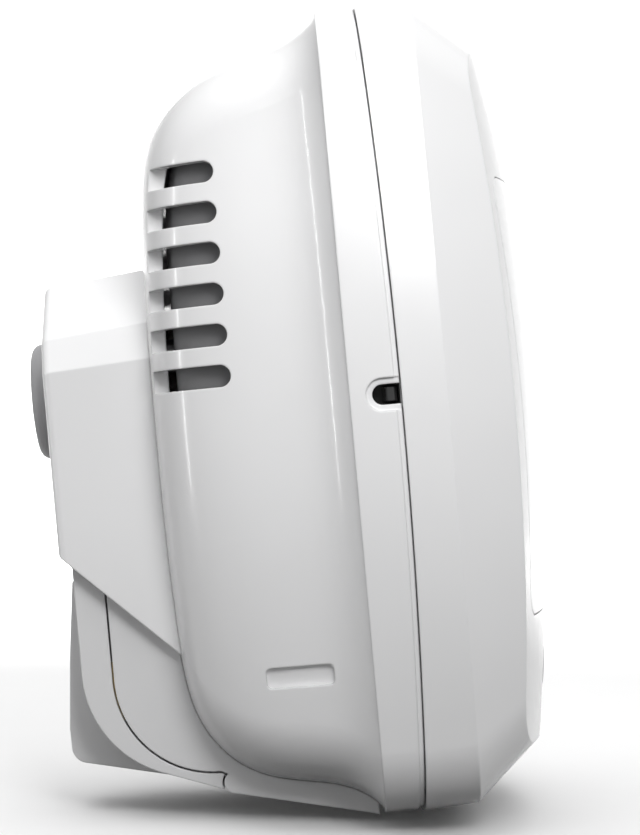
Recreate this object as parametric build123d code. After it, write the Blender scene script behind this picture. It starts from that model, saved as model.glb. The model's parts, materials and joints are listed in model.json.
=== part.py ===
from build123d import *
import math
import os

# Plug-in ultrasonic pest repeller. Lengths in mm. +Z is up and the front faces -Y.
# Shapes are drawn in the housing's own frame: Y = 0 at the parting plane, X = Z = 0 on its centre line.
# export() moves them to the part's origin, the centre of the plug disc's rear face.

# --- Housing ---
HALF_HEIGHT = 63.0
HALF_WIDTH = 43.0
SIDE_BOW = 6.0           # how far each side bulges between its corners
END_BOW = 4.5            # the same for the top and the bottom
CORNER = 12.0
WALL = 2.2
GAP = 0.2                # between neighbouring mouldings
RIM_BACK = 6.5
PARTING_MID = -1.0       # the parting line bows forward half way up
PARTING_END = 0.8
RIM_STEP = (0.7, 0.35)   # width and depth of the step that runs beside the parting line

# Rear bulge: distance back, half width, half height, how far the wall leans to the back in degrees,
# and how far the outline's middle drops
BULGE = [
    (6.5, 42.5, 62.5, 5, 0.0),
    (8.5, 40.0, 60.6, 28, 0.0),
    (12.0, 37.9, 58.9, 12, 0.0),
    (18.5, 37.2, 57.2, 9, 0.3),
    (25.0, 36.2, 55.1, 18, 0.7),
    (30.0, 34.0, 51.6, 38, 0.9),
    (33.5, 30.6, 46.8, 60, 0.9),
    (35.4, 26.0, 40.6, 80, 0.9),
    (36.1, 20.0, 32.9, 90, 0.9),
]
BACK = 36.1

# --- Front cover ---
EDGE_FRONT = -7.7        # where the straight wall turns into the bevel
COVER_PROUD = 0.4        # the cover's edge stands this far outside the housing's rim
COVER_DRAFT = 0.6
BEVEL_DEPTH = 16.3
BEVEL_IN = 13.0
DOME_CROWN = -23.5
DOME_R_SIDE = 107.0      # curvature across the front
DOME_R_TALL = 347.0      # curvature up the front

# --- Front panel ---
PANEL_HALF_W = 30.0
PANEL_HALF_H = 33.0
PANEL_CORNER = 4.0
PANEL_T = 2.0
LEDGE = 3.2
LEDGE_BACK = 3.8         # the panel's seat ends this far behind the dome
SPEAKER_Z = 16.0
SPEAKER_R = 12.0
SOUND_SLOT = 1.7
SOUND_PITCH = 3.4

# --- Side details ---
VENTS = 6
VENT_TOP = 37.3
VENT_PITCH = 6.1
VENT_H = 3.3
VENT_FRONT = 23.5
VENT_INNER_X = 25.0
BAFFLE_GAP = 1.3
BAFFLE_T = 1.2
SWITCH_Z = 1.9
SWITCH_BACK = 3.2
SWITCH_H = 3.0
DIMPLE_DEPTH = 0.8
DIMPLE = (17.3, -38.5, 10.1, 3.1)    # Y, Z, length, height of the shallow side recess

# --- Plug block ---
BLOCK_BACK = 52.8
BLOCK_WALL = 2.0
PLUG_Z = 5.9
DISC_R = 9.25
DISC_BACK = 56.1
PLINTH_R = 9.9
PLINTH_T = 0.6
TRAVEL = 16.5            # how far the blades slide out while the disc makes half a turn
CAM_START = 33.0
HUB_R = 8.6
HUB_BORE = 7.95
SLEEVE_R = 10.7
RUN = 0.1                # running clearance
CAM_PIN_R = 1.0
BLADE_X = 6.35
BLADE_W = 6.3
BLADE_T = 1.5
BLOCK_HALF_W = 21.0
BLOCK_FRONT = 34.2
SLANT = (-18.2, -36.0)   # height of the underside at the block's back and at its front
BLOCK_BOSSES = [(15.5, -10.0), (-15.5, -10.0), (14.5, 11.0), (-14.5, 11.0)]

# --- Lower case and door ---
CASE_HALF_W = 18.0
CASE_WALL = 1.8
DOOR_ARC = (34.1, -37.0, 17.0)       # Y, Z, radius of the door's outer corner
LINE_ARC = (31.0, -38.3, 15.2)       # Y, Z, radius of the parting line round the case
HEEL_HALF_W = 8.0
HEEL_LEAN = 20.0         # the door's underside leans this much, in degrees
HEEL_BACK = 51.2
HEEL_LOW = -51.9         # the heel's lowest point at its back
HEEL_SLOPE = 0.235       # how fast its underside drops towards the front
FOOT_FRONT = 7.3
HINGE = (29.0, -55.4)
KNUCKLE_R = 1.5
CHEEK_R = 1.7
HINGE_PIN_R = 0.8
HINGE_PIN_HALF = 11.0
CELL = (42.3, -40.0, 6.0, 30.2)      # Y, Z, radius, length of the backup cell

# --- Inside ---
BOARD_FRONT = 1.0
BOARD_T = 1.6
BOARD_HALF = (28.0, 41.5)
BOARD_POSTS = (24.0, 37.8)
BOSSES = (14.5, 46.5)
BOSS_SEAT = 14.0
BUTTON_Z = -43.0
BUTTON_PROUD = 0.15

os.makedirs("parts", exist_ok=True)


# A drawing plane across the housing at distance y, facing the front or the back.
def across(y, to_back=False):
    if to_back:
        return Plane(origin=(0, y, 0), x_dir=(-1, 0, 0), z_dir=(0, 1, 0))
    return Plane(origin=(0, y, 0), x_dir=(1, 0, 0), z_dir=(0, -1, 0))


# A slab of a symmetric outline from y0 back to y1.
def slab(outline, y0, y1):
    return extrude(across(y0, to_back=True) * outline, y1 - y0)


def rod(x, z, radius, y0, y1):
    return extrude(across(y0, to_back=True) * Pos(-x, z) * Circle(radius), y1 - y0)


def tube(x, z, outer, inner, y0, y1):
    return rod(x, z, outer, y0, y1) - rod(x, z, inner, y0 - 1, y1 + 1)


def block(x0, x1, y0, y1, z0, z1):
    middle = ((x0 + x1) / 2, (y0 + y1) / 2, (z0 + z1) / 2)
    return Pos(*middle) * Box(x1 - x0, y1 - y0, z1 - z0)


def both(shape):
    return shape + mirror(shape, Plane.YZ)


# The housing's front-view outline: four shallow arcs with rounded corners.
def barrel(half_width, half_height, corner=CORNER):
    side = half_width - SIDE_BOW
    end = half_height - END_BOW
    arcs = [
        ThreePointArc((side, -end), (half_width, 0), (side, end)),
        ThreePointArc((side, end), (0, half_height), (-side, end)),
        ThreePointArc((-side, end), (-half_width, 0), (-side, -end)),
        ThreePointArc((-side, -end), (0, -half_height), (side, -end)),
    ]
    face = make_face(Curve() + arcs)
    return fillet(face.vertices(), corner)


def rounded(half_w, half_h, corner):
    return RectangleRounded(2 * half_w, 2 * half_h, corner)


# A profile in the YZ plane carried across X between x0 and x1.
def carried(profile, x0, x1):
    return extrude(Plane.YZ.offset(x0) * profile, x1 - x0, dir=(1, 0, 0))


# Everything in front of the bowed parting surface, moved by shift along Y.
def ahead_of_parting(shift=0.0):
    reach = 1.25 * HALF_HEIGHT
    end = PARTING_MID + (PARTING_END - PARTING_MID) * 1.25 ** 2 + shift
    mid = PARTING_MID + shift
    front = -60
    lines = [
        ThreePointArc((end, -reach), (mid, 0), (end, reach)),
        Line((end, reach), (front, reach)),
        Line((front, reach), (front, -reach)),
        Line((front, -reach), (end, -reach)),
    ]
    return carried(make_face(Curve() + lines), -60, 60)


# The rear housing's solid form, drawn in from its outer skin by inset.
def housing_form(inset=0.0):
    rim = slab(barrel(HALF_WIDTH - inset, HALF_HEIGHT - inset, CORNER - inset), -3, RIM_BACK)
    stations = []
    for y, half_w, half_h, lean, drop in BULGE:
        side = inset * math.cos(math.radians(lean))
        back = inset * math.sin(math.radians(lean))
        outline = Pos(0, -drop) * barrel(half_w - side, half_h - side, CORNER - side)
        stations.append(across(y - back, to_back=True) * outline)
    return rim + loft(stations)


# The dome that the front follows: a shallow parabola across the front, swept up it on a large arc.
def dome(inset=0.0, half=60.0, sweep=26.0):
    crown = DOME_CROWN + inset
    rise = half ** 2 / (2 * DOME_R_SIDE)
    low = crown + rise
    deep = half / 2
    lines = [
        Bezier((-half, low), (0, crown - rise), (half, low)),
        Line((half, low), (half, deep)),
        Line((half, deep), (-half, deep)),
        Line((-half, deep), (-half, low)),
    ]
    pivot = Axis((0, crown + DOME_R_TALL, 0), (1, 0, 0))
    face = make_face(Curve() + lines).rotate(pivot, -sweep / 2)
    return revolve(face, pivot, sweep)


# A sheet that follows the dome between two depths behind it.
def dome_sheet(near, far):
    return dome(near) - dome(far, 64, 28)


# The front cover's solid form: a drafted wall, a wide bevel and the dome.
def cover_form(inset=0.0):
    grow = COVER_PROUD - inset
    start = 3.0
    w, h = HALF_WIDTH + grow, HALF_HEIGHT + grow
    wall_back = across(start) * barrel(w, h, CORNER - inset)
    wall_front = across(EDGE_FRONT) * barrel(w - COVER_DRAFT, h - COVER_DRAFT, CORNER - inset)
    w, h = w - COVER_DRAFT, h - COVER_DRAFT
    tip = across(EDGE_FRONT - BEVEL_DEPTH) * barrel(w - BEVEL_IN, h - BEVEL_IN, CORNER - inset - 2)
    form = loft([wall_back, wall_front], ruled=True) + loft([wall_front, tip], ruled=True)
    return form & dome(inset)


# --- Rear housing ---
def vent_cuts():
    cuts = []
    radius = VENT_H / 2
    for i in range(VENTS):
        z = VENT_TOP - i * VENT_PITCH
        slot = block(VENT_INNER_X, 60, VENT_FRONT + radius, 50, z - radius, z + radius)
        front_end = Pos(42.5, VENT_FRONT + radius, z) * Rot(0, 90, 0) * Cylinder(radius, 35)
        cuts += [slot, front_end]
    return both(Compound(children=cuts)).solids()


def switch_window(grow=0.0):
    half = SWITCH_H / 2 + grow
    middle = SWITCH_BACK - SWITCH_H / 2
    window = block(-60, -35, -20, middle, SWITCH_Z - half, SWITCH_Z + half)
    return window + Pos(-47.5, middle, SWITCH_Z) * Rot(0, 90, 0) * Cylinder(half, 25)


def screw_places(half_x, half_z):
    return [(x, z) for x in (-half_x, half_x) for z in (-half_z, half_z)]


def rear_housing():
    skin = housing_form()
    shell = skin - housing_form(WALL)
    shell -= Compound(children=vent_cuts())
    y, z, length, height = DIMPLE
    dimple = block(30, 60, y - length / 2, y + length / 2, z - height / 2, z + height / 2)
    shell -= both(fillet(dimple.edges().filter_by(Axis.X), 0.8)) - housing_form(DIMPLE_DEPTH)
    for x, z in screw_places(*BOSSES):
        boss = rod(x, z, 4.2, 1.0, BACK) & skin
        shell = shell + boss - rod(x, z, 1.75, -5, 60) - rod(x, z, 3.3, BOSS_SEAT, 60)
    shell -= rod(0, PLUG_Z, SLEEVE_R + 0.3, 30, 60)
    for x, z in BLOCK_BOSSES:
        shell -= rod(x, z, 1.6, 30, 60)
    shell -= switch_window()
    window_lip = switch_window(0.9) & (skin - housing_form(0.5))
    shell -= window_lip
    width, depth = RIM_STEP
    shell -= (skin - housing_form(depth)) & ahead_of_parting(width + GAP / 2)
    return shell - ahead_of_parting(GAP / 2)


def vent_baffle(side):
    inset = WALL + BAFFLE_GAP
    sheet = housing_form(inset) - housing_form(inset + BAFFLE_T)
    low = VENT_TOP - VENTS * VENT_PITCH + 2.0
    region = block(21.5, 50, 17.0, 50, low, VENT_TOP + 3.5)
    baffle = sheet & region
    for y in (18.5, 23.0):
        for z in (low + 3.5, VENT_TOP - 1.0):
            gap = housing_form(WALL) - housing_form(inset + 0.3)
            peg = block(30, 60, y - 0.7, y + 0.7, z - 1.5, z + 1.5) & gap
            baffle += peg
    return baffle if side > 0 else mirror(baffle, Plane.YZ)


# --- Front cover and panel ---
def panel_prism(half_w, half_h, corner, y0=-40.0, y1=10.0):
    return slab(rounded(half_w, half_h, corner), y0, y1)


def button_outline(grow=0.0):
    return SlotOverall(13 + 2 * grow, 6 + 2 * grow)


def front_cover():
    skin = cover_form()
    cover = skin - cover_form(WALL)
    inner = WALL - COVER_PROUD
    cover -= slab(barrel(HALF_WIDTH - inner, HALF_HEIGHT - inner), 0.5, 9)
    cover -= panel_prism(PANEL_HALF_W + GAP, PANEL_HALF_H + GAP, PANEL_CORNER)
    frame = panel_prism(PANEL_HALF_W + 1.8, PANEL_HALF_H + 1.8, PANEL_CORNER + 1)
    frame -= panel_prism(PANEL_HALF_W + GAP, PANEL_HALF_H + GAP, PANEL_CORNER)
    seat = panel_prism(PANEL_HALF_W + 1.0, PANEL_HALF_H + 1.0, PANEL_CORNER + 0.5)
    seat -= panel_prism(PANEL_HALF_W - LEDGE, PANEL_HALF_H - LEDGE, PANEL_CORNER)
    cover += frame & dome_sheet(1.4, LEDGE_BACK)
    cover += seat & dome_sheet(PANEL_T + 0.05, LEDGE_BACK)
    inside = cover_form(1.0)
    for x, z in screw_places(*BOSSES):
        boss = rod(x, z, 3.8, -40, 0.8) & inside
        cover = cover + boss - rod(x, z, 1.55, -9, 5)
    for x, z in screw_places(*BOARD_POSTS):
        post = rod(x, z, 2.8, -40, BOARD_FRONT) & inside
        cover = cover + post - rod(x, z, 1.25, -8, 5)
    cover -= Pos(0, 0, BUTTON_Z) * slab(button_outline(GAP), -40, 0)
    cover &= ahead_of_parting(-GAP / 2) + slab(barrel(36, 58), -30, 2)
    grow = WALL + GAP
    lip = slab(barrel(HALF_WIDTH - grow, HALF_HEIGHT - grow, CORNER - grow), -6, 3.0)
    lip += slab(barrel(HALF_WIDTH - 1.0, HALF_HEIGHT - 1.0, CORNER - 1.0), -5.5, -1.6)
    grow += 1.1
    lip -= slab(barrel(HALF_WIDTH - grow, HALF_HEIGHT - grow, CORNER - grow), -7, 4.0)
    lip -= switch_window(0.3) & block(-60, -30, -0.9, 9, SWITCH_Z - 5, SWITCH_Z + 5)
    return cover + lip


def sound_slots():
    cuts = []
    count = int(2 * SPEAKER_R / SOUND_PITCH)
    for centre in (-SPEAKER_Z, SPEAKER_Z):
        for i in range(count):
            z = (i - (count - 1) / 2) * SOUND_PITCH
            half = math.sqrt(SPEAKER_R ** 2 - z ** 2)
            cuts.append(Pos(0, 0, centre + z) * slab(SlotOverall(2 * half, SOUND_SLOT), -40, 0))
    return cuts


def front_panel():
    panel = panel_prism(PANEL_HALF_W, PANEL_HALF_H, PANEL_CORNER - GAP) & dome_sheet(0, PANEL_T)
    panel -= sound_slots()
    return panel - rod(0, 0, 1.6, -40, 0)


def sound_mesh():
    half_w, half_h = PANEL_HALF_W - LEDGE - 0.3, PANEL_HALF_H - LEDGE - 0.3
    mesh = panel_prism(half_w, half_h, PANEL_CORNER) & dome_sheet(PANEL_T + 0.05, PANEL_T + 0.55)
    return mesh - rod(0, 0, 2.0, -40, 0)


def mode_button():
    cap = Pos(0, 0, BUTTON_Z) * slab(button_outline(), -40, 0)
    cap &= dome_sheet(-BUTTON_PROUD, 2.6)
    flange = Pos(0, 0, BUTTON_Z) * slab(button_outline(1.2), -40, 0)
    flange &= dome_sheet(WALL + 0.1, WALL + 1.0)
    stem = rod(0, BUTTON_Z, 1.6, -18.6, -4.9)
    return cap + flange + stem


def button_switch():
    body = block(-3, 3, -2.6, BOARD_FRONT - 0.1, BUTTON_Z - 3, BUTTON_Z + 3)
    return body + rod(0, BUTTON_Z, 1.7, -3.7, -2.5)


# --- Slide switch behind its side window ---
def slide_switch_body():
    x0, x1 = -39.4, -33.0
    body = block(x0, x1, -2.6, 6.4, SWITCH_Z - 3.4, SWITCH_Z + 3.4)
    slot = block(x0 - 1, x0 + 2.2, -0.7, 4.0, SWITCH_Z - 1.3, SWITCH_Z + 1.3)
    return body - slot


def slide_switch_knob():
    foot = block(-39.2, -37.6, -0.5, 1.5, SWITCH_Z - 1.1, SWITCH_Z + 1.1)
    grip = block(-41.6, -39.1, -0.3, 1.3, SWITCH_Z - 1.0, SWITCH_Z + 1.0)
    grip = fillet(grip.edges().filter_by(Axis.Z).sort_by(Axis.X)[:2], 0.4)
    return foot + grip


# --- Electronics ---
def main_board():
    board = slab(rounded(BOARD_HALF[0], BOARD_HALF[1], 2), BOARD_FRONT, BOARD_FRONT + BOARD_T)
    board += block(-33, -25, BOARD_FRONT, BOARD_FRONT + BOARD_T, SWITCH_Z - 4, SWITCH_Z + 4)
    for x, z in screw_places(*BOARD_POSTS):
        board -= rod(x, z, 1.4, -5, 9)
    return board


def transducer(z):
    return rod(0, z, 8.0, -5.5, BOARD_FRONT) + tube(0, z, 7.0, 6.2, -7.0, -5.0)


def horn(z):
    outer = loft([across(-5.6) * Pos(0, z) * Circle(9.4), across(-18.6) * Pos(0, z) * Circle(13.4)])
    inner = loft([across(-5.5) * Pos(0, z) * Circle(8.3), across(-18.7) * Pos(0, z) * Circle(12.4)])
    neck = tube(0, z, 9.4, 8.15, -5.6, -0.6)
    return outer - inner + neck


def horn_gasket(z):
    return tube(0, z, 13.2, 12.0, -19.5, -18.7)


def transformer():
    y0 = BOARD_FRONT + BOARD_T
    core = block(-24, -6, y0 + 2, y0 + 16, -34, -12)
    winding = block(-22, -8, y0, y0 + 18, -29.5, -16.5)
    return core + fillet(winding.edges().filter_by(Axis.Z), 2.0)


def capacitors():
    y0 = BOARD_FRONT + BOARD_T
    cans = []
    for x, z, radius, tall in ((14, -30, 4.0, 12), (14, -20, 4.0, 12), (21.5, -25, 2.5, 8)):
        can = rod(x, z, radius, y0, y0 + tall)
        cans.append(fillet(can.edges().sort_by(Axis.Y)[-1:], 0.6))
    return cans


def rectifier_diodes():
    y = BOARD_FRONT + BOARD_T + 1.4
    return [Pos(x, y, -37.5) * Cylinder(1.35, 5) for x in (-3, 1, 5, 9)]


def control_chip():
    y0 = BOARD_FRONT + BOARD_T
    body = block(-18, -8, y0 + 0.5, y0 + 4, 2, 8)
    for side in (2, 8):
        for i in range(4):
            x = -16.8 + 2.54 * i
            body += block(x - 0.3, x + 0.3, y0, y0 + 2, side - 0.9, side + 0.9)
    return body


def safety_fuse():
    y0 = BOARD_FRONT + BOARD_T
    glass = Pos(22, y0 + 3.4, 5) * Cylinder(2.5, 15)
    for end in (-1, 1):
        glass += Pos(22, y0 + 3.4, 5 + end * 8.5) * Cylinder(2.7, 4)
        glass += block(21.5, 22.5, y0, y0 + 2, 5 + end * 8.5 - 1, 5 + end * 8.5 + 1)
    return glass


def status_light():
    return rod(0, 0, 1.5, -2.4, BOARD_FRONT - 0.1) + rod(0, 0, 1.9, 0.0, BOARD_FRONT - 0.1)


def light_guide():
    guide = rod(0, 0, 1.45, -40, -2.9) & dome(0.2)
    return guide + rod(0, 0, 2.6, -19.4, -18.4)


def housing_screws():
    screws = []
    for x, z in screw_places(*BOSSES):
        screw = rod(x, z, 1.5, -8, BOSS_SEAT + 0.1) + rod(x, z, 2.9, BOSS_SEAT, BOSS_SEAT + 2.2)
        screws.append(cross_recess(screw, x, z, BOSS_SEAT + 2.2))
    return screws


def board_screws():
    y0 = BOARD_FRONT + BOARD_T
    screws = []
    for x, z in screw_places(*BOARD_POSTS):
        screw = rod(x, z, 1.2, -7, y0 + 0.1) + rod(x, z, 2.2, y0, y0 + 1.6)
        screws.append(cross_recess(screw, x, z, y0 + 1.6))
    return screws


def cross_recess(screw, x, z, y, deep=1.0, half=1.5):
    for a, b in ((half, 0.3), (0.3, half)):
        screw -= block(x - a, x + a, y - deep, y + 1, z - b, z + b)
    return screw


# --- Plug block and turning disc ---
# The underside of the plug block slants down to the housing; its height at distance y.
def slant(y):
    return SLANT[0] - (BLOCK_BACK - y) * (SLANT[0] - SLANT[1]) / (BLOCK_BACK - BLOCK_FRONT)


# One cross-section of the plug block: an arch of flat facets over straight sides.
def block_section(y, inset, rise, bottom):
    arch = [(6.0, 23.6 + rise), (18.3, 14.9 + 0.9 * rise), (BLOCK_HALF_W, 9.8 + 0.6 * rise)]
    right = [(x - 0.6 * inset if x < 10 else x - inset, z - inset) for x, z in arch]
    right.append((BLOCK_HALF_W - inset, bottom + 1.35 * inset))
    left = [(-x, z) for x, z in reversed(right)]
    return across(y, to_back=True) * Polygon(*(right + left), align=None)


def block_form(inset=0.0):
    back = BLOCK_BACK - inset
    front = block_section(BLOCK_FRONT, inset, 1.9, SLANT[1])
    rear = block_section(back, inset, 0.0, slant(back))
    return loft([front, rear], ruled=True)


def plug_block():
    form = block_form()
    form = fillet(form.edges().filter_by_position(Axis.Y, BLOCK_BACK - 0.1, BLOCK_BACK + 0.1), 1.3)
    shell = form - block_form(BLOCK_WALL)
    for x, z in BLOCK_BOSSES:
        x0, x1 = sorted((x, math.copysign(BLOCK_HALF_W - 1, x)))
        shell += rod(x, z, 2.6, BLOCK_FRONT, 44) + block(x0, x1, BLOCK_FRONT, 44, z - 0.8, z + 0.8)
    shell -= housing_form()
    for x, z in BLOCK_BOSSES:
        shell -= rod(x, z, 1.25, 30, 43)
    shell += rod(0, PLUG_Z, PLINTH_R, BLOCK_BACK - 1, BLOCK_BACK + PLINTH_T)
    return shell - rod(0, PLUG_Z, HUB_R + RUN, 30, 60)


def block_screws():
    seat = BACK - WALL
    screws = []
    for x, z in BLOCK_BOSSES:
        screw = rod(x, z, 1.2, seat - 0.1, 42) + rod(x, z, 2.6, seat - 2, seat)
        screws.append(screw)
    return screws


def spun(y, angle):
    return Pos(0, y, PLUG_Z) * Rot(0, angle, 0)


# The fixed sleeve round the disc's hub. Two helical slots, half a turn each, guide the cam pins.
def cam_sleeve():
    sleeve = rod(0, PLUG_Z, SLEEVE_R, 30.5, BLOCK_BACK - BLOCK_WALL)
    sleeve += rod(0, PLUG_Z, SLEEVE_R + 2, 49.4, BLOCK_BACK - BLOCK_WALL)
    sleeve -= rod(0, PLUG_Z, HUB_R + RUN, 20, 60)
    steps = 36
    cuts = []
    for i in range(steps + 1):
        y = CAM_START + TRAVEL * i / steps
        for start in (0, 180):
            turned = start + 180 * i / steps
            cuts.append(spun(y, turned) * Pos(0, 0, 10) * Cylinder(CAM_PIN_R + 0.25, 5))
    return sleeve - cuts


def plug_disc():
    disc = rod(0, PLUG_Z, DISC_R, BLOCK_BACK + PLINTH_T + RUN, DISC_BACK)
    disc = fillet(disc.edges().sort_by(Axis.Y)[-1:], 1.7)
    disc += rod(0, PLUG_Z, HUB_R, 29.0, BLOCK_BACK + 1)
    disc -= rod(0, PLUG_Z, HUB_BORE, 20, BLOCK_BACK + PLINTH_T + RUN + 0.2)
    for start in (0, 180):
        y0, y1 = CAM_START - 1.25, CAM_START + TRAVEL + 1.25
        slot = block(-1.15, 1.15, y0, y1, 5, 12)
        disc -= Pos(0, 0, PLUG_Z) * Rot(0, start, 0) * slot
    for x in (-BLADE_X, BLADE_X):
        half = BLADE_T / 2 + 0.2
        tall = BLADE_W / 2 + 0.15
        disc -= block(x - half, x + half, 50, 60, PLUG_Z - tall, PLUG_Z + tall)
    groove = tube(0, PLUG_Z, HUB_R + 1, HUB_R - 0.3, 29.6, 30.3)
    return disc - groove


def retaining_ring():
    ring = tube(0, PLUG_Z, 10.0, HUB_R - 0.3, 29.65, 30.25)
    return ring - block(-2.5, 2.5, 29, 31, PLUG_Z - 12, PLUG_Z - 7)


def blade(x):
    tip = DISC_BACK - 0.6
    thin, wide = BLADE_T / 2, BLADE_W / 2
    strip = block(x - thin, x + thin, CAM_START - 6, tip, PLUG_Z - wide, PLUG_Z + wide)
    strip = chamfer(strip.edges().filter_by(Axis.X).sort_by(Axis.Y)[-2:], 1.2)
    hole = Pos(x, tip - 4, PLUG_Z) * Rot(0, 90, 0) * Cylinder(1.2, 4)
    return strip - hole


def plug_blades():
    return [blade(-BLADE_X), blade(BLADE_X)]


def cam_pins():
    return [spun(CAM_START, start) * Pos(0, 0, 8.4) * Cylinder(CAM_PIN_R, 4.0) for start in (0, 180)]


def blade_carrier():
    carrier = rod(0, PLUG_Z, HUB_BORE - RUN, CAM_START - 2.5, CAM_START + 2.5)
    carrier -= rod(0, PLUG_Z, 3.5, CAM_START + 1, CAM_START + 5)
    carrier -= plug_blades()
    return carrier - cam_pins()


# --- Lower case, its door and the backup cell ---
def heel_bottom(y):
    return HEEL_LOW - (HEEL_BACK - y) * HEEL_SLOPE


# A quarter circle from straight back of its centre to straight below it.
def lower_corner(y, z, radius):
    part = radius * math.sqrt(0.5)
    return ThreePointArc((y + radius, z), (y + part, z - part), (y, z - radius))


def case_region(reach=0.0):
    y, z, radius = LINE_ARC
    radius += reach
    back = y + radius
    top = slant(back) - 0.15
    lines = [
        Line((30, slant(30) - 0.15), (back, top)),
        Line((back, top), (back, z)),
        lower_corner(y, z, radius),
        Line((y, z - radius), (y - 3, z - radius - 1.5)),
        Line((y - 3, z - radius - 1.5), (y - 3, -45)),
        Line((y - 3, -45), (30, slant(30) - 0.15)),
    ]
    return make_face(Curve() + lines)


def hinge_rod(radius, x0, x1):
    return carried(Pos(*HINGE) * Circle(radius), x0, x1)


def cell_rod(radius, half):
    return carried(Pos(CELL[0], CELL[1]) * Circle(radius), -half, half)


# The outline of the cheek that holds one end of the hinge pin.
def cheek_region():
    y = HINGE[0]
    ahead = Polygon((24, -50), (24, heel_bottom(24)), (y, heel_bottom(y)), (y, -50), align=None)
    return ahead + Pos(*HINGE) * Circle(CHEEK_R)


def lower_case():
    inner = CASE_HALF_W - CASE_WALL
    case = carried(case_region(), -CASE_HALF_W, CASE_HALF_W)
    drop = 2.5
    hollow = Polygon((30.8, slant(30.8) - drop), (60, slant(60) - drop), (60, -80), (30.8, -80), align=None)
    case -= carried(hollow, -inner, inner)
    gap = HEEL_HALF_W + 0.4
    start = HINGE[0] - CHEEK_R - 0.35
    low = [(start, heel_bottom(start)), (FOOT_FRONT, heel_bottom(FOOT_FRONT))]
    foot = Polygon((start, -45), *low, (FOOT_FRONT, -50), align=None)
    case += carried(foot, -CASE_HALF_W, CASE_HALF_W)
    case -= block(-gap, gap, start, 45, -70, HINGE[1] + 2.8)
    for x0, x1 in ((-CASE_HALF_W, -gap), (gap, CASE_HALF_W)):
        case += carried(cheek_region(), x0, x1)
    case -= housing_form(-0.05)
    half = HINGE_PIN_HALF + 0.1
    return case - hinge_rod(HINGE_PIN_R + 0.02, -half, half)


def door_region(inset=0.0):
    y, z, radius = DOOR_ARC
    radius -= inset
    back = y + radius
    top = slant(back) - 0.4

    def turned(angle):
        tilt = math.radians(angle)
        return (y + radius * math.sin(tilt), z - radius * math.cos(tilt))

    low = turned(HEEL_LEAN)
    end = low[1] - (low[0] - 26) * math.tan(math.radians(HEEL_LEAN))
    lines = [
        Line((26, slant(26) - 0.4), (back, top)),
        Line((back, top), (back, z)),
        ThreePointArc((back, z), turned(HEEL_LEAN / 2 + 45), low),
        Line(low, (26, end)),
        Line((26, end), (26, slant(26) - 0.4)),
    ]
    return make_face(Curve() + lines)


def heel_region():
    corners = [(44, -29.0), (50.8, -21.8), (52.3, -23.0), (53.7, -34.9), (54.7, -46.0)]
    corners.append((54.6, HEEL_LOW + 0.8))
    corners += [(HINGE[0], heel_bottom(HINGE[0])), (HINGE[0], HINGE[1] + KNUCKLE_R), (44, -47)]
    face = make_face(Polyline(*corners, close=True))
    rounded_corners = [v for v in face.vertices() if v.X > 54 and v.Y < -50]
    return fillet(rounded_corners, 2.6)


def case_door():
    inner = CASE_HALF_W - CASE_WALL
    door = carried(door_region(), -CASE_HALF_W, CASE_HALF_W)
    door -= carried(door_region(CASE_WALL), -inner, inner)
    door -= carried(case_region(0.3), -20, 20)
    door -= block(-30, 30, 0, HINGE[0], -80, 0) + hinge_rod(CHEEK_R + 0.3, -30, 30)
    door -= block(-30, 30, 0, LINE_ARC[0] + 2, -53, 0)
    heel = heel_region()
    door += carried(heel, -HEEL_HALF_W, HEEL_HALF_W) - carried(door_region(CASE_WALL), -inner, inner)
    pocket = offset(heel, -CASE_WALL, kind=Kind.INTERSECTION)
    half = HEEL_HALF_W - CASE_WALL
    door -= carried(pocket, -half, half) - block(-30, 30, 0, HINGE[0] + 3.5, -80, 0)
    door += hinge_rod(KNUCKLE_R, -HEEL_HALF_W, HEEL_HALF_W)
    return door - hinge_rod(HINGE_PIN_R + 0.06, -20, 20)


def hinge_pin():
    return hinge_rod(HINGE_PIN_R, -HINGE_PIN_HALF, HINGE_PIN_HALF)


def backup_cell():
    can = cell_rod(CELL[2], CELL[3] / 2 - 0.9)
    can = fillet(can.edges(), 0.5)
    return can + cell_rod(2.1, CELL[3] / 2)


def cell_contacts():
    half = CELL[3] / 2
    plates = []
    for x0, x1 in ((half + 0.05, half + 0.75), (-half - 0.75, -half - 0.05)):
        plates.append(block(x0, x1, CELL[0] - 4.5, CELL[0] + 4.5, CELL[1] - 4.5, CELL[1] + 4.5))
    return plates


# --- Writing the sub-parts ---
def export(name, shape):
    solids = shape if isinstance(shape, list) else [shape]
    placed = [Pos(0, -DISC_BACK, -PLUG_Z) * solid for solid in solids]
    body = placed[0] if len(placed) == 1 else Compound(children=placed)
    export_step(body, f"parts/{name}.step")


export("rear_housing", rear_housing())
export("left_vent_baffle", vent_baffle(-1))
export("right_vent_baffle", vent_baffle(1))
export("front_cover", front_cover())
export("front_panel", front_panel())
export("sound_mesh", sound_mesh())
export("mode_button", mode_button())
export("button_switch", button_switch())
export("slide_switch_body", slide_switch_body())
export("slide_switch_knob", slide_switch_knob())
export("main_board", main_board())
for place, height in (("upper", SPEAKER_Z), ("lower", -SPEAKER_Z)):
    export(place + "_transducer", transducer(height))
    export(place + "_horn", horn(height))
    export(place + "_horn_gasket", horn_gasket(height))
export("transformer", transformer())
export("capacitors", capacitors())
export("rectifier_diodes", rectifier_diodes())
export("control_chip", control_chip())
export("safety_fuse", safety_fuse())
export("status_light", status_light())
export("light_guide", light_guide())
export("housing_screws", housing_screws())
export("board_screws", board_screws())
export("plug_block", plug_block())
export("block_screws", block_screws())
export("cam_sleeve", cam_sleeve())
export("plug_disc", plug_disc())
export("retaining_ring", retaining_ring())
export("blade_carrier", blade_carrier())
export("cam_pins", cam_pins())
export("plug_blades", plug_blades())
export("lower_case", lower_case())
export("case_door", case_door())
export("hinge_pin", hinge_pin())
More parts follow.
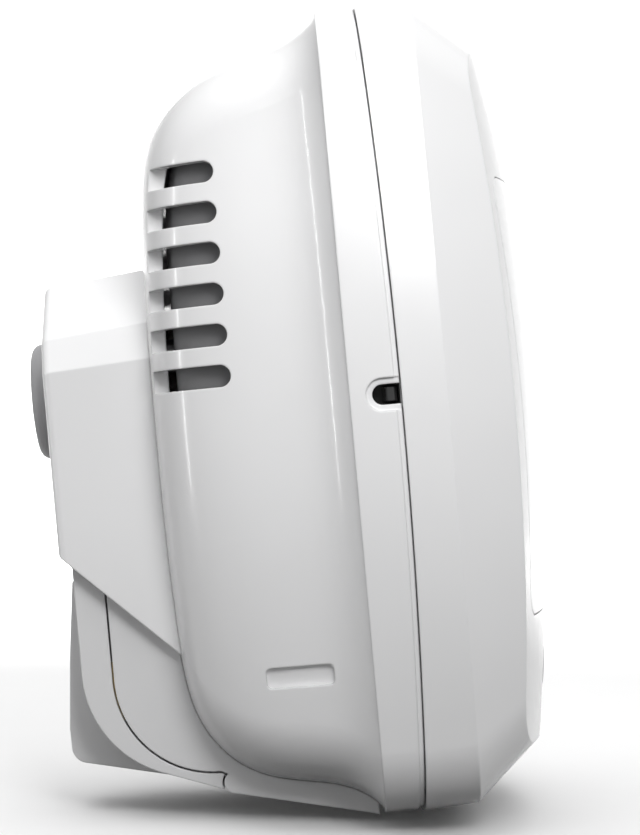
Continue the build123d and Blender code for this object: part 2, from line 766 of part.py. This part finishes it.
export("backup_cell", backup_cell())
export("cell_contacts", cell_contacts())
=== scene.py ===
import bpy
import json
import math
import numpy as np
from mathutils import Matrix, Vector

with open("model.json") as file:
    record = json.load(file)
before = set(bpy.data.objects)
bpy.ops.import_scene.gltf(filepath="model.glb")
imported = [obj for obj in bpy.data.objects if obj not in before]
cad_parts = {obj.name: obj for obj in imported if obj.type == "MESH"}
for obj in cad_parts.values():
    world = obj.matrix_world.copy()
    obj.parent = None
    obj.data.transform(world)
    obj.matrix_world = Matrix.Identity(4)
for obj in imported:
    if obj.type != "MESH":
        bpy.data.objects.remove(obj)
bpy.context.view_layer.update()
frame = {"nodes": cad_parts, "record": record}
nodes = frame["nodes"]
scene = bpy.context.scene
mm = 0.001   # one millimetre in metres
print("frame loaded:", len(nodes), "nodes")


# one socket of a material's graph; + - * on it add Math nodes
class Sock:
    def __init__(self, graph, socket):
        self.graph, self.socket = graph, socket

    def calc(self, operation, other, swap=False):
        pair = [other, self] if swap else [self, other]
        return self.graph.add("Math", {"operation": operation}, pair)

    def __add__(self, other):
        return self.calc("ADD", other)

    def __radd__(self, other):
        return self.calc("ADD", other, True)

    def __sub__(self, other):
        return self.calc("SUBTRACT", other)

    def __rsub__(self, other):
        return self.calc("SUBTRACT", other, True)

    def __mul__(self, other):
        return self.calc("MULTIPLY", other)

    def __rmul__(self, other):
        return self.calc("MULTIPLY", other, True)


# a material's node graph
class Graph:
    def __init__(self, name):
        self.material = bpy.data.materials.new(name)
        self.material.use_nodes = True
        self.tree = self.material.node_tree
        self.tree.nodes.clear()

    # makes any node: its settings first, then its inputs, and gives back the output asked for
    def add(self, kind, settings=None, inputs=None, out=0):
        node = self.tree.nodes.new("ShaderNode" + kind)
        for key, value in (settings or {}).items():
            setattr(node, key, value)
        pairs = inputs.items() if isinstance(inputs, dict) else enumerate(inputs or [])
        for key, value in pairs:
            if isinstance(value, Sock):
                self.tree.links.new(value.socket, node.inputs[key])
            else:
                node.inputs[key].default_value = value
        return Sock(self, node.outputs[out])

    def place(self):
        return self.add("TexCoord", out="Object")

    def noise(self, scale, detail, rough=0.5):
        inputs = {"Vector": self.place(), "Scale": scale, "Detail": detail, "Roughness": rough}
        return self.add("TexNoise", None, inputs)

    # stretches low..high to 0..1 and cuts off what lies outside
    def between(self, value, low, high):
        inputs = {"Value": value, "From Min": low, "From Max": high, "To Min": 0.0, "To Max": 1.0}
        return self.add("MapRange", {"clamp": True}, inputs)

    # mixes two colours by a number from 0 to 1
    def blend(self, factor, first, second):
        settings = {"data_type": "RGBA", "blend_type": "MIX"}
        return self.add("Mix", settings, {0: factor, 6: first, 7: second}, out=2)

    # an edge rounded in the shading alone, radius in mm
    def rounded(self, radius, samples):
        return self.add("Bevel", {"samples": samples}, {"Radius": radius * mm})

    # height in mm
    def bump(self, strength, height, pattern, normal=None):
        inputs = {"Strength": strength, "Distance": height * mm, "Height": pattern}
        if normal is not None:
            inputs["Normal"] = normal
        return self.add("Bump", None, inputs)

    def surface(self, colour, roughness, normal=None, **fixed):
        inputs = {"Base Color": colour, "Roughness": roughness}
        if normal is not None:
            inputs["Normal"] = normal
        inputs.update({key.replace("_", " "): value for key, value in fixed.items()})
        shader = self.add("BsdfPrincipled", None, inputs)
        output = self.tree.nodes.new("ShaderNodeOutputMaterial")
        self.tree.links.new(shader.socket, output.inputs["Surface"])
        return self.material


def rgba(r, g, b):
    return (r, g, b, 1.0)


def shaded(colour, part):
    return rgba(*[part * c for c in colour])


plasticLooks = {   # colour, roughness, coat, fine texture height (mm), edge rounding (mm)
    "housing_white": dict(colour=(0.83, 0.83, 0.835), rough=0.24, coat=0.35, grain=0.0016, edge=0.45),
    # case_white is set darker than housing_white although the lower case is the same white plastic: painted
    # shade for the lower case
    "case_white": dict(colour=(0.74, 0.74, 0.745), rough=0.34, coat=0.12, grain=0.0030, edge=0.35),
    "panel_white": dict(colour=(0.82, 0.82, 0.83), rough=0.20, coat=0.40, grain=0.0012, edge=0.30),
    "disc_gray": dict(colour=(0.42, 0.42, 0.43), rough=0.42, coat=0.0, grain=0.0050, edge=0.40),
    "button_gray": dict(colour=(0.60, 0.61, 0.62), rough=0.38, coat=0.0, grain=0.0040, edge=0.30),
    "baffle_gray": dict(colour=(0.19, 0.19, 0.195), rough=0.55, coat=0.0, grain=0.0060, edge=0.20),
    "black_plastic": dict(colour=(0.005, 0.005, 0.0055), rough=0.48, coat=0.0, grain=0.0050, edge=0.15),
    "sleeve_white": dict(colour=(0.62, 0.60, 0.55), rough=0.45, coat=0.0, grain=0.0040, edge=0.20),
    "board_green": dict(colour=(0.02, 0.11, 0.05), rough=0.30, coat=0.3, grain=0.0020, edge=0.10),
    "gasket_rubber": dict(colour=(0.02, 0.02, 0.02), rough=0.78, coat=0.0, grain=0.0100, edge=0.20),
}
mouldedFinish = dict(   # what all of them share
    driftScale=28.0, sparkScale=5200.0, wipeScale=160.0,
    darkest=0.965,                      # the tone at the low end of the drift, as a part of the colour
    wipeSway=0.25, driftSway=0.18,      # how far each pattern moves the roughness, as a part of it
    bump=0.35, edgeSamples=6, coatRough=0.06, ior=1.49,
)


# moulded plastic: a slow drift of tone, a fine spark texture, faint wipe marks in the gloss, rounded edges
def plastic(name, colour, rough, coat, grain, edge):
    finish = mouldedFinish
    g = Graph(name)
    drift = g.noise(finish["driftScale"], 2.0)
    spark = g.noise(finish["sparkScale"], 2.0, 0.6)
    wipe = g.noise(finish["wipeScale"], 5.0, 0.62)
    tone = g.blend(g.between(drift, 0.35, 0.65), shaded(colour, finish["darkest"]), rgba(*colour))
    normal = g.bump(finish["bump"], grain, spark, g.rounded(edge, finish["edgeSamples"]))
    wiped = (g.between(wipe, 0.3, 0.75) - 0.5) * (finish["wipeSway"] * rough)
    drifted = (drift - 0.5) * (finish["driftSway"] * rough)
    gloss = dict(Coat_Weight=coat, Coat_Roughness=finish["coatRough"], IOR=finish["ior"])
    return g.surface(tone, rough + wiped + drifted, normal, **gloss)


metalLooks = {     # colour, roughness, stretch of the brushing marks along x, y and z
    "transducer_metal": dict(colour=(0.62, 0.62, 0.64), rough=0.32, marks=(30, 30, 400)),
    "transformer_iron": dict(colour=(0.16, 0.16, 0.17), rough=0.50, marks=(900, 60, 60)),
    "capacitor_sleeve": dict(colour=(0.05, 0.07, 0.16), rough=0.35, marks=(120, 20, 120)),
    "screw_steel": dict(colour=(0.50, 0.50, 0.51), rough=0.30, marks=(300, 80, 300)),
    "brass": dict(colour=(0.72, 0.52, 0.22), rough=0.26, marks=(200, 60, 900)),
    "cell_skin": dict(colour=(0.36, 0.38, 0.42), rough=0.33, marks=(40, 500, 500)),
}
brushedFinish = dict(   # what all of them share; grain and edge in mm
    streakScale=6.0, patchScale=140.0, darkest=0.8, streakSway=0.22,
    bump=0.25, grain=0.004, edge=0.12, edgeSamples=4,
)


# bare or plated metal: brushed streaks in the roughness, a dulled tone in patches, rubbed edges
def metal(name, colour, rough, marks):
    finish = brushedFinish
    g = Graph(name)
    stretched = g.add("Mapping", None, {"Vector": g.place(), "Scale": marks})
    streakInputs = {"Vector": stretched, "Scale": finish["streakScale"], "Detail": 4.0}
    streaks = g.add("TexNoise", None, streakInputs)
    patches = g.noise(finish["patchScale"], 4.0)
    tone = g.blend(g.between(patches, 0.35, 0.7), shaded(colour, finish["darkest"]), rgba(*colour))
    roughness = rough + (streaks - 0.5) * finish["streakSway"]
    rubbed = g.rounded(finish["edge"], finish["edgeSamples"])
    normal = g.bump(finish["bump"], finish["grain"], streaks, rubbed)
    return g.surface(tone, roughness, normal, Metallic=1.0)


clothLook = dict(   # pitch and thread height in mm
    pitch=0.45, thread=0.08, bump=0.6, rough=0.7, sway=0.15,
    # the darker of the two colours is painted shade for the low parts of the weave, the lighter one the
    # thread's own colour
    hollowShade=(0.006, 0.006, 0.006), over=(0.045, 0.045, 0.048),
)


# woven black cloth behind the sound slots: threads crossing over one another, the product of a sine across
# and one along; the colour is darkened where the weave dips, painted shade in the hollows between threads
def meshCloth(name):
    look = clothLook
    g = Graph(name)
    x = g.add("SeparateXYZ", None, [g.place()], out=0)
    z = g.add("SeparateXYZ", None, [g.place()], out=2)
    turns = 2 * math.pi / (look["pitch"] * mm)
    across = g.add("Math", {"operation": "SINE"}, [x * turns])
    along = g.add("Math", {"operation": "SINE"}, [z * turns])
    weave = g.between(across * along, -1.0, 1.0)
    # painted shade: the weave that sets the height also darkens the colour where the threads dip
    tone = g.blend(weave, rgba(*look["hollowShade"]), rgba(*look["over"]))
    normal = g.bump(look["bump"], look["thread"], weave)
    return g.surface(tone, look["rough"] + weave * look["sway"], normal)


clearLook = dict(   # grain in mm
    flowScale=300.0, grain=0.01, bump=0.15, rough=0.08, sway=0.08, clear=0.9, ior=1.49,
    deep=(0.86, 0.93, 0.88), pale=(0.95, 0.98, 0.95),
)


# clear moulded plastic with faint flow lines
def clearPlastic(name):
    look = clearLook
    g = Graph(name)
    flow = g.noise(look["flowScale"], 3.0)
    tone = g.blend(flow, rgba(*look["deep"]), rgba(*look["pale"]))
    normal = g.bump(look["bump"], look["grain"], flow)
    roughness = look["rough"] + flow * look["sway"]
    return g.surface(tone, roughness, normal, Transmission_Weight=look["clear"], IOR=look["ior"])


made = {name: plastic(name, **look) for name, look in plasticLooks.items()}
made.update({name: metal(name, **look) for name, look in metalLooks.items()})
made["mesh_black"] = meshCloth("mesh_black")
made["clear"] = clearPlastic("clear")
for part in frame["record"]["subparts"]:
    piece = nodes[part["node"]]
    piece.data.materials.clear()
    piece.data.materials.append(made[part["material_slot"]])
print("materials:", len(made))

# the camera looks along +X at the unit's left side, a little rolled; mm and degrees
# frameWide is the width of what it takes in at the given distance
view = dict(distance=420.0, aimY=-45.1, aimZ=-6.5, roll=5.14, frameWide=102.977, nearest=10.0)
roll = math.radians(view["roll"])
right = Vector((0, -math.cos(roll), -math.sin(roll)))
up = Vector((0, -math.sin(roll), math.cos(roll)))
eye = Vector((-view["distance"], view["aimY"], view["aimZ"])) * mm
camera = bpy.data.objects.new("camera", bpy.data.cameras.new("camera"))
camera.data.sensor_fit = "HORIZONTAL"
camera.data.lens = camera.data.sensor_width * view["distance"] / view["frameWide"]
camera.data.clip_start = view["nearest"] * mm
axes = Matrix((right, up, right.cross(up))).transposed()
camera.matrix_world = Matrix.Translation(eye) @ axes.to_4x4()
scene.collection.objects.link(camera)
scene.camera = camera
print("camera lens:", round(camera.data.lens, 1), "mm")

floorLook = dict(   # size in metres, drop below the unit in mm; the curve starts at a part of the half size
    size=6.0, curveStart=0.42, curve=1.6, drop=0.4, steps=65,
    tone=0.93, darkest=0.985, speckleScale=90.0, rough=0.85, sway=0.1,
)


# the lowest point of a piece along the upright direction
def lowestPoint(piece):
    co = np.empty(len(piece.data.vertices) * 3, np.float32)
    piece.data.vertices.foreach_get("co", co)
    return float((co.reshape(-1, 3) @ np.array(up, np.float32)).min())


# the floor: a grid in two parameters, u away from the camera and v across, square to the upright direction;
# past the start of the curve it rises with the square of the distance from there
def floorSheet(level):
    look = floorLook
    half = look["size"] / 2
    line = np.linspace(-1, 1, look["steps"])
    u, v = np.meshgrid(line, line, indexing="ij")
    rise = look["curve"] * np.clip(u - look["curveStart"], 0, None) ** 2
    flat = np.array(right)[None, None] * (v * half)[..., None]
    deep = np.array((1.0, 0, 0))[None, None] * (u * half)[..., None]
    lift = np.array(up)[None, None] * (level + rise * half)[..., None]
    points = (flat + deep + lift).reshape(-1, 3)
    n = look["steps"]
    i = np.arange(n * n).reshape(n, n)
    quads = np.stack([i[:-1, :-1], i[:-1, 1:], i[1:, 1:], i[1:, :-1]], -1).reshape(-1, 4)
    mesh = bpy.data.meshes.new("floor")
    mesh.from_pydata(points.tolist(), [], quads[:, ::-1].tolist())
    mesh.shade_smooth()
    sheet = bpy.data.objects.new("floor", mesh)
    scene.collection.objects.link(sheet)
    return sheet


# matt white paper with a faint speckle
def floorPaper():
    look = floorLook
    g = Graph("floor_paper")
    speckle = g.noise(look["speckleScale"], 4.0)
    white = (look["tone"],) * 3
    paper = g.blend(speckle, shaded(white, look["darkest"]), rgba(*white))
    return g.surface(paper, look["rough"] + speckle * look["sway"])


level = min(lowestPoint(piece) for piece in nodes.values()) - floorLook["drop"] * mm
floor = floorSheet(level)
floor.data.materials.append(floorPaper())
floor.visible_diffuse = False   # the floor throws no light back up, so the object darkens downwards
print("floor level:", round(level / mm, 1), "mm")

lamps = {   # size and height of a strip (m), power (W), place and target (m), spread (degrees)
    "topSoft": dict(size=0.8, power=1.6, place=(-0.08, -0.05, 0.75)),
    "keySoft": dict(size=0.14, power=0.075, place=(-0.28, -0.12, 0.13),
                    target=(0, -0.045, 0.022), spread=60),
    "rearStrip": dict(size=0.012, tall=0.26, power=0.16, place=(-0.09, 0.28, 0.03)),
    "farSideSoft": dict(size=0.5, power=0.5, place=(0.55, -0.10, 0.30)),
    "backdropSoft": dict(size=1.0, power=34.0, place=(0.75, -0.05, 0.75), target=(1.9, -0.05, 0.0)),
}
unitMiddle = (0.0, -0.045, -0.01)


# a round soft light, or a strip where a height is given, turned towards its target
def softLight(name, size, power, place, target=unitMiddle, spread=180, tall=None):
    lamp = bpy.data.lights.new(name, "AREA")
    lamp.shape = "RECTANGLE" if tall else "DISK"
    lamp.size, lamp.size_y = size, tall or size
    lamp.energy, lamp.spread = power, math.radians(spread)
    holder = bpy.data.objects.new(name, lamp)
    spot = Vector(place)
    holder.location = spot
    holder.rotation_euler = (Vector(target) - spot).to_track_quat("-Z", "Y").to_euler()
    holder.visible_camera = False
    scene.collection.objects.link(holder)


for name, values in lamps.items():
    softLight(name, **values)
print("lamps:", len(lamps))

# strength at the top and the bottom, the heights they hold at, and how much brighter the front side is
worldLook = dict(top=0.88, bottom=0.02, topHeight=0.9, bottomHeight=-0.48, forward=0.20)


# the world: bright overhead, darker towards the ground; the camera itself sees plain white
def studioWorld():
    look = worldLook
    world = bpy.data.worlds.new("studio")
    world.use_nodes = True
    tree = world.node_tree
    tree.nodes.clear()
    kinds = ("TexCoord", "SeparateXYZ", "Math", "MapRange", "LightPath", "Background", "Background",
             "MixShader", "OutputWorld")
    place, split, lean, height, ray, glow, plain, mix, out = [
        tree.nodes.new("ShaderNode" + kind) for kind in kinds]
    lean.operation = "MULTIPLY_ADD"
    lean.inputs[1].default_value = -look["forward"]
    ends = (("From Min", look["bottomHeight"]), ("From Max", look["topHeight"]),
            ("To Min", look["bottom"]), ("To Max", look["top"]))
    for key, value in ends:
        height.inputs[key].default_value = value
    glow.inputs["Color"].default_value = plain.inputs["Color"].default_value = rgba(1, 1, 1)
    link = tree.links.new
    link(place.outputs["Generated"], split.inputs[0])
    link(split.outputs["Y"], lean.inputs[0])
    link(split.outputs["Z"], lean.inputs[2])
    link(lean.outputs[0], height.inputs["Value"])
    link(height.outputs[0], glow.inputs["Strength"])
    link(ray.outputs["Is Camera Ray"], mix.inputs[0])
    link(glow.outputs[0], mix.inputs[1])
    link(plain.outputs[0], mix.inputs[2])
    link(mix.outputs[0], out.inputs["Surface"])
    scene.world = world


studioWorld()
scene.view_settings.view_transform = "Standard"
print("world and view set")
